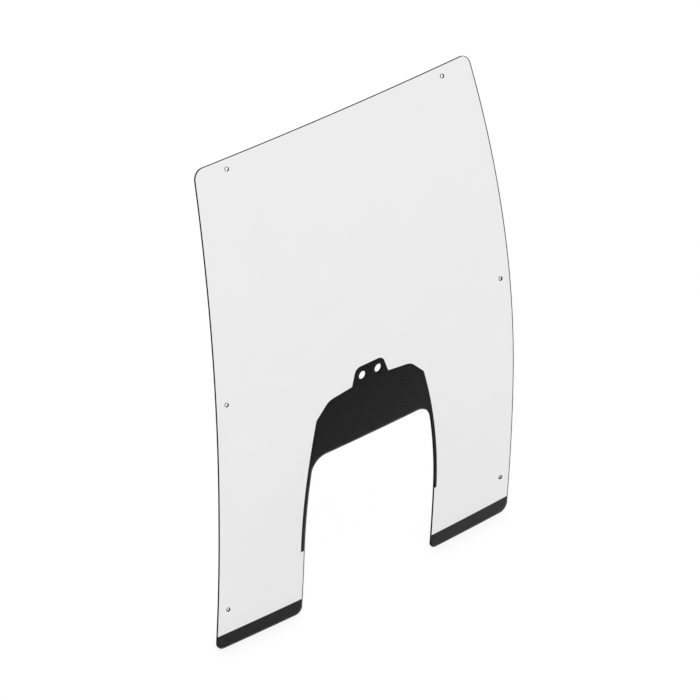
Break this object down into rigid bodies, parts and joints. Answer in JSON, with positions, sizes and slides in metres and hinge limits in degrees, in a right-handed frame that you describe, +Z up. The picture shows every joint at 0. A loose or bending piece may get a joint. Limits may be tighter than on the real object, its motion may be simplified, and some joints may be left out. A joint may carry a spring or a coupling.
{
  "type": "windshield screen",
  "caption": "Doubly curved clear cab windscreen with a gap between its feet, fixing holes near the edges, wiper holes in a tab and black printed bands.",
  "frame": {"origin": "on the centre line, level with the bottom edge of the feet, halfway through the overall depth", "axes": "+X across the screen, to the right as seen from outside; +Y from the bulging outer face to the inner face; +Z up, from the feet to the top edge"},
  "size_m": [0.95, 0.1492, 1.297],
  "materials": {
    "clear_sheet": "gloss",
    "black_print": "satin"
  },
  "bodies": {
    "root": {"clear_screen": "clear_sheet", "centre_mask": "black_print", "left_foot_band": "black_print", "right_foot_band": "black_print"}
  },
  "joints": []
}
